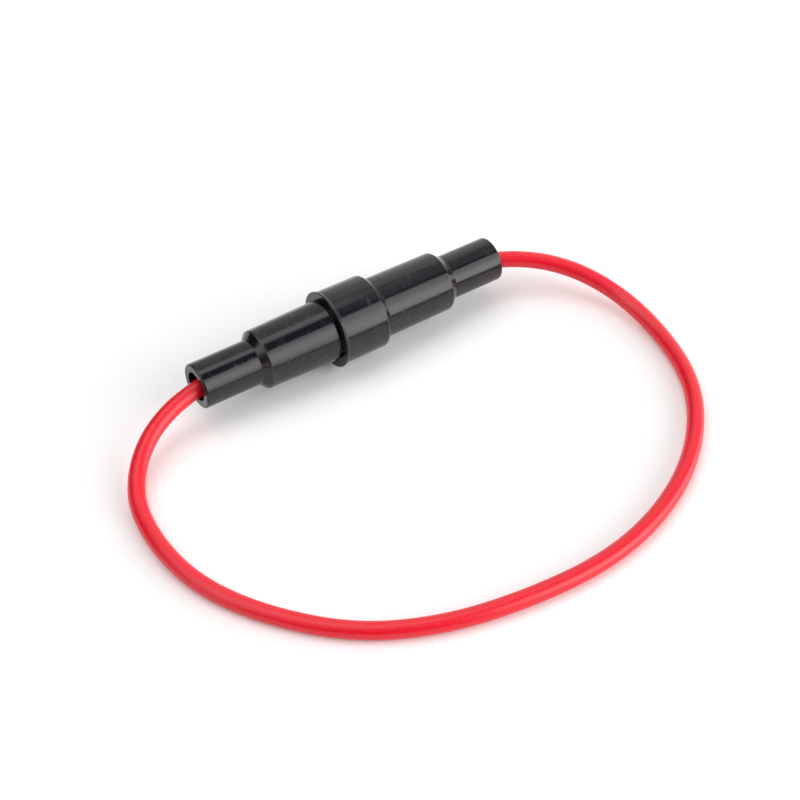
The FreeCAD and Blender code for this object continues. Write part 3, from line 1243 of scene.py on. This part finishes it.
@dataclass
class ContactSpring:
    """Compression spring with closed and ground ends, between the plug's floor and its contact."""

    stations: Stations
    coil_radius: float = 2.43
    wire_radius: float = 0.25
    turns: float = 5.5
    closed_turns: float = 0.75
    closed_rise: float = 0.35
    points_per_turn: int = 48
    end_inset: float = 0.12
    end_gap: float = 0.01

    def build(self) -> bpy.types.Object:
        """Makes the spring, which stretches from the contact to the plug's floor.

        The wire's middle is (x(t), -R sin a, axis height + R cos a). Its rise is slow over the
        closed turns at both ends, and the wire is cut flat at both end planes.

        Returns:
            The spring.
        """
        t = np.linspace(0, self.turns, int(self.turns * self.points_per_turn))
        closed = self.closed_turns
        free = smooth_step((np.minimum(t, self.turns - t) - 0.4 * closed) / closed)
        rate = self.closed_rise + (1 - self.closed_rise) * free
        rise = np.concatenate([[0], np.cumsum((rate[1:] + rate[:-1]) / 2 * np.diff(t))])
        low, high = self.stations.plug_floor, self.stations.plug_contact
        x = low + self.end_inset + (high - low - 2 * self.end_inset) * rise / rise[-1]
        angle = t * TURN
        radial = np.stack([0 * t, -np.sin(angle), np.cos(angle)], axis=1)
        along = np.broadcast_to([1.0, 0.0, 0.0], radial.shape)
        centre = np.stack([x, 0 * t, 0 * t + self.stations.axis_height], axis=1)
        grid = tube(centre + self.coil_radius * radial, radial, along, self.wire_radius, around=14)
        grid.points[..., 0] = np.clip(grid.points[..., 0], low + self.end_gap, high - self.end_gap)
        piece = new_piece("spring_coil", [grid], STEEL, ["contact_spring"])
        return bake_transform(piece)


@dataclass
class LeadLoop:
    """The red lead outside the holder, one loop on the floor from tip to tip."""

    stations: Stations
    radius: float = 1.21
    length: float = 178.4
    around: int = 28
    points_per_span: int = 14
    route: tuple[tuple[float, float, float], ...] = (
        (-20.6, 0.0, 5.72),
        (-22.4, 0.0, 5.72),
        (-25.6, -0.2, 5.25),
        (-29.65, -0.95, 4.45),
        (-33.85, -2.85, 3.35),
        (-37.65, -6.35, 2.1),
        (-40.4, -11.55, 1.21),
        (-41.25, -20.05, 1.21),
        (-39.8, -28.35, 1.21),
        (-35.3, -36.65, 1.21),
        (-27.9, -44.8, 1.21),
        (-18.5, -49.75, 1.21),
        (-7.85, -52.2, 1.21),
        (4.2, -53.05, 1.21),
        (14.6, -51.05, 1.21),
        (24.6, -46.15, 1.21),
        (32.35, -39.0, 1.21),
        (36.8, -31.45, 1.21),
        (38.95, -22.3, 1.21),
        (38.5, -14.6, 2.2),
        (35.7, -8.95, 3.95),
        (32.2, -4.85, 4.95),
        (28.45, -2.15, 5.45),
        (25.1, -0.6, 5.7),
        (22.4, 0.0, 5.72),
        (20.6, 0.0, 5.72),
    )

    def line(self) -> np.ndarray:
        """Points along the route's NURBS spline, as a curve with no bevel gives them.

        Returns:
            Rows of x, y, z.
        """
        curve = bpy.data.curves.new("lead_line", "CURVE")
        curve.dimensions = "3D"
        spline = curve.splines.new("NURBS")
        spline.points.add(len(self.route) - 1)
        places = np.array([(*point, 1.0) for point in self.route])
        places[:, :3] *= MM
        spline.points.foreach_set("co", places.ravel())
        spline.order_u = 3
        spline.use_endpoint_u = True
        spline.resolution_u = self.points_per_span
        holder = bpy.data.objects.new("lead_line", curve)
        mesh = bpy.data.meshes.new_from_object(holder)
        points = np.empty(len(mesh.vertices) * 3)
        mesh.vertices.foreach_get("co", points)
        bpy.data.meshes.remove(mesh)
        bpy.data.objects.remove(holder)
        bpy.data.curves.remove(curve)
        return points.reshape(-1, 3) / MM

    def build(self) -> bpy.types.Object:
        """Makes the loop: a circle carried along the line, level across it and upright over it.

        Returns:
            The loop.
        """
        line = self.line()
        ahead = np.gradient(line, axis=0)
        ahead /= np.linalg.norm(ahead, axis=1)[:, None]
        side = np.cross(ahead, [0.0, 0.0, 1.0])
        side /= np.linalg.norm(side, axis=1)[:, None]
        grid = tube(line, side, np.cross(side, ahead), self.radius, around=self.around)
        piece = new_piece("lead_sleeve", [grid], SLEEVE, ["lead_loop"])
        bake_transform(piece)
        return piece


# The studio


@dataclass(frozen=True)
class WhiteFloor(Finish):
    """Plain white table top, a little brighter to the eye than by its own light."""

    name: str = "white_floor"
    colour: Colour = (0.95, 0.95, 0.95)
    roughness: float = 0.9
    sheen: float = 0.1
    glow: float = 0.09

    def wire(self, w: Wiring) -> None:
        """Adds the finish's nodes. The glow shows to the camera, in reflections and through glass.

        Args:
            w: wiring of the finish's material.
        """
        path = w.add("ShaderNodeLightPath")
        seen = w.math("MAXIMUM", path.outputs["Is Camera Ray"], path.outputs["Is Transmission Ray"])
        seen = w.math("MAXIMUM", seen, path.outputs["Is Glossy Ray"])
        inputs = {
            "Base Color": (*self.colour, 1),
            "Roughness": self.roughness,
            "Specular IOR Level": self.sheen,
            "Emission Color": (1, 1, 1, 1),
            "Emission Strength": w.math("MULTIPLY", seen, self.glow),
        }
        self.surface(w, inputs)


class Reach(Enum):
    """How far along X a soft box's directions lean, as the first and last X of a unit vector."""

    END = (-1.1, 0.15)
    LEFT = (0.15, 0.395)
    RIGHT = (0.395, 1.1)


@dataclass(frozen=True)
class SoftBox:
    """One soft box of the room: where it starts and stops round the holder, its edge and its strength.

    Its place is the roll of a direction about X in degrees: 0 is level in front, 90 overhead and
    180 level behind.
    """

    reach: Reach
    low: float
    high: float
    edge: float
    brightness: float
    lean_edge: float = 0.04

    @staticmethod
    def window(w: Wiring, value: object, low: float, high: float, edge: float) -> bpy.types.NodeSocket:
        """Value's share inside a range: 1 between low and high, 0 outside, with a soft edge on each.

        Args:
            w: the room's wiring.
            value: what is tested.
            low: middle of the lower edge.
            high: middle of the upper edge.
            edge: width of both edges.

        Returns:
            The share.
        """
        rise = w.span(value, low - edge / 2, low + edge / 2, 0.0, 1.0)
        fall = w.span(value, high - edge / 2, high + edge / 2, 1.0, 0.0)
        return w.math("MULTIPLY", rise, fall)

    def light(self, w: Wiring, roll: object, lean: object) -> bpy.types.NodeSocket:
        """Strength of the box in a direction: its brightness, times its share in roll and in lean.

        Args:
            w: the room's wiring.
            roll: the direction's roll in degrees.
            lean: the direction's X.

        Returns:
            The strength.
        """
        round_it = self.window(w, roll, self.low, self.high, self.edge)
        along_it = self.window(w, lean, *self.reach.value, self.lean_edge)
        return w.math("MULTIPLY", w.math("MULTIPLY", round_it, along_it), self.brightness)


@dataclass
class Studio:
    """White floor, a room of soft boxes with dark gaps between them, and the camera."""

    floor_size: float = 3.0
    boxes: tuple[SoftBox, ...] = (
        # low front box and its bright middle, as the plug half sees them
        SoftBox(Reach.LEFT, -12, 58, 8, 2.5),
        SoftBox(Reach.LEFT, 12, 44, 16, 1.35),
        # strip overhead and pale wall behind
        SoftBox(Reach.LEFT, 90, 112, 12, 2.3),
        SoftBox(Reach.LEFT, 114, 200, 14, 0.72),
        # the same on the socket half's side, with a dimmer ceiling and a brighter wall
        SoftBox(Reach.RIGHT, -12, 60, 8, 2.75),
        SoftBox(Reach.RIGHT, -12, 34, 28, 1.75),
        SoftBox(Reach.RIGHT, 70, 118, 14, 0.5),
        SoftBox(Reach.RIGHT, 118, 200, 10, 1.15),
        # box over the plug's end, with a dim skirt
        SoftBox(Reach.END, 82, 130, 24, 1.9),
        SoftBox(Reach.END, 50, 82, 20, 0.4),
    )
    camera_place: tuple[float, float, float] = (-0.098775, -0.161429, 0.173746)
    camera_azimuth: float = 33.679
    camera_elevation: float = 44.2
    lens: float = 79.875
    sensor: float = 36.0

    def build_room(self) -> None:
        """World that shines white to the camera and lights the object by the soft boxes.

        A direction's roll is the angle of (-Y, Z), and its lean is its X. The strength there is
        the sum of the boxes.
        """
        world = bpy.data.worlds.new("room")
        bpy.context.scene.world = world
        world.use_nodes = True
        w = Wiring(world.node_tree)
        direction = w.add("ShaderNodeSeparateXYZ", {0: w.add("ShaderNodeTexCoord").outputs["Generated"]})
        lean, y, z = direction.outputs
        roll = w.math("MULTIPLY", w.math("ARCTAN2", z, w.math("MULTIPLY", y, -1.0)), 360 / TURN)
        room = 0.0
        for box in self.boxes:
            room = w.math("ADD", box.light(w, roll, lean), room)
        path = w.add("ShaderNodeLightPath")
        seen = w.math("MAXIMUM", path.outputs["Is Camera Ray"], path.outputs["Is Transmission Ray"])
        shader = w.add("ShaderNodeBackground", {"Color": w.mix(seen, room, (1, 1, 1, 1)), "Strength": 1.0})
        w.add("ShaderNodeOutputWorld", {"Surface": shader.outputs[0]})

    def build_floor(self) -> None:
        """Adds the floor, a flat square under the object."""
        half = self.floor_size / 2
        mesh = bpy.data.meshes.new("floor")
        corners = [(-half, -half, 0), (half, -half, 0), (half, half, 0), (-half, half, 0)]
        mesh.from_pydata(corners, [], [(0, 1, 2, 3)])
        floor = bpy.data.objects.new("floor", mesh)
        bpy.context.scene.collection.objects.link(floor)
        mesh.materials.append(WhiteFloor().material())

    def build_camera(self) -> None:
        """Adds the camera at the photograph's place, with no roll."""
        azimuth, elevation = math.radians(self.camera_azimuth), math.radians(self.camera_elevation)
        level = math.cos(elevation)
        ahead = Vector((math.sin(azimuth) * level, math.cos(azimuth) * level, -math.sin(elevation)))
        data = bpy.data.cameras.new("camera")
        data.sensor_width = self.sensor
        data.lens = self.lens
        data.clip_start = 0.01
        camera = bpy.data.objects.new("camera", data)
        bpy.context.scene.collection.objects.link(camera)
        camera.location = self.camera_place
        camera.rotation_euler = ahead.to_track_quat("-Z", "Y").to_euler()
        bpy.context.scene.camera = camera

    def build(self) -> None:
        """Makes the whole set."""
        self.build_camera()
        self.build_floor()
        self.build_room()
        bpy.context.scene.view_settings.view_transform = "Standard"
        log.info("studio: %d soft boxes", len(self.boxes))


def main() -> None:
    """Builds the studio, the lead and then the holder's pieces from the outside in."""
    logging.basicConfig(level=logging.INFO, format="%(name)s: %(message)s")
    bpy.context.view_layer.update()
    stations = Stations()
    Studio().build()
    LeadLoop(stations).build()
    PlugShell(stations).build()
    SocketShell(stations).build()
    for side in Side:
        Contact(stations, side).build()
    Cartridge(stations).build()
    ContactSpring(stations).build()


if __name__ == "__main__":
    main()
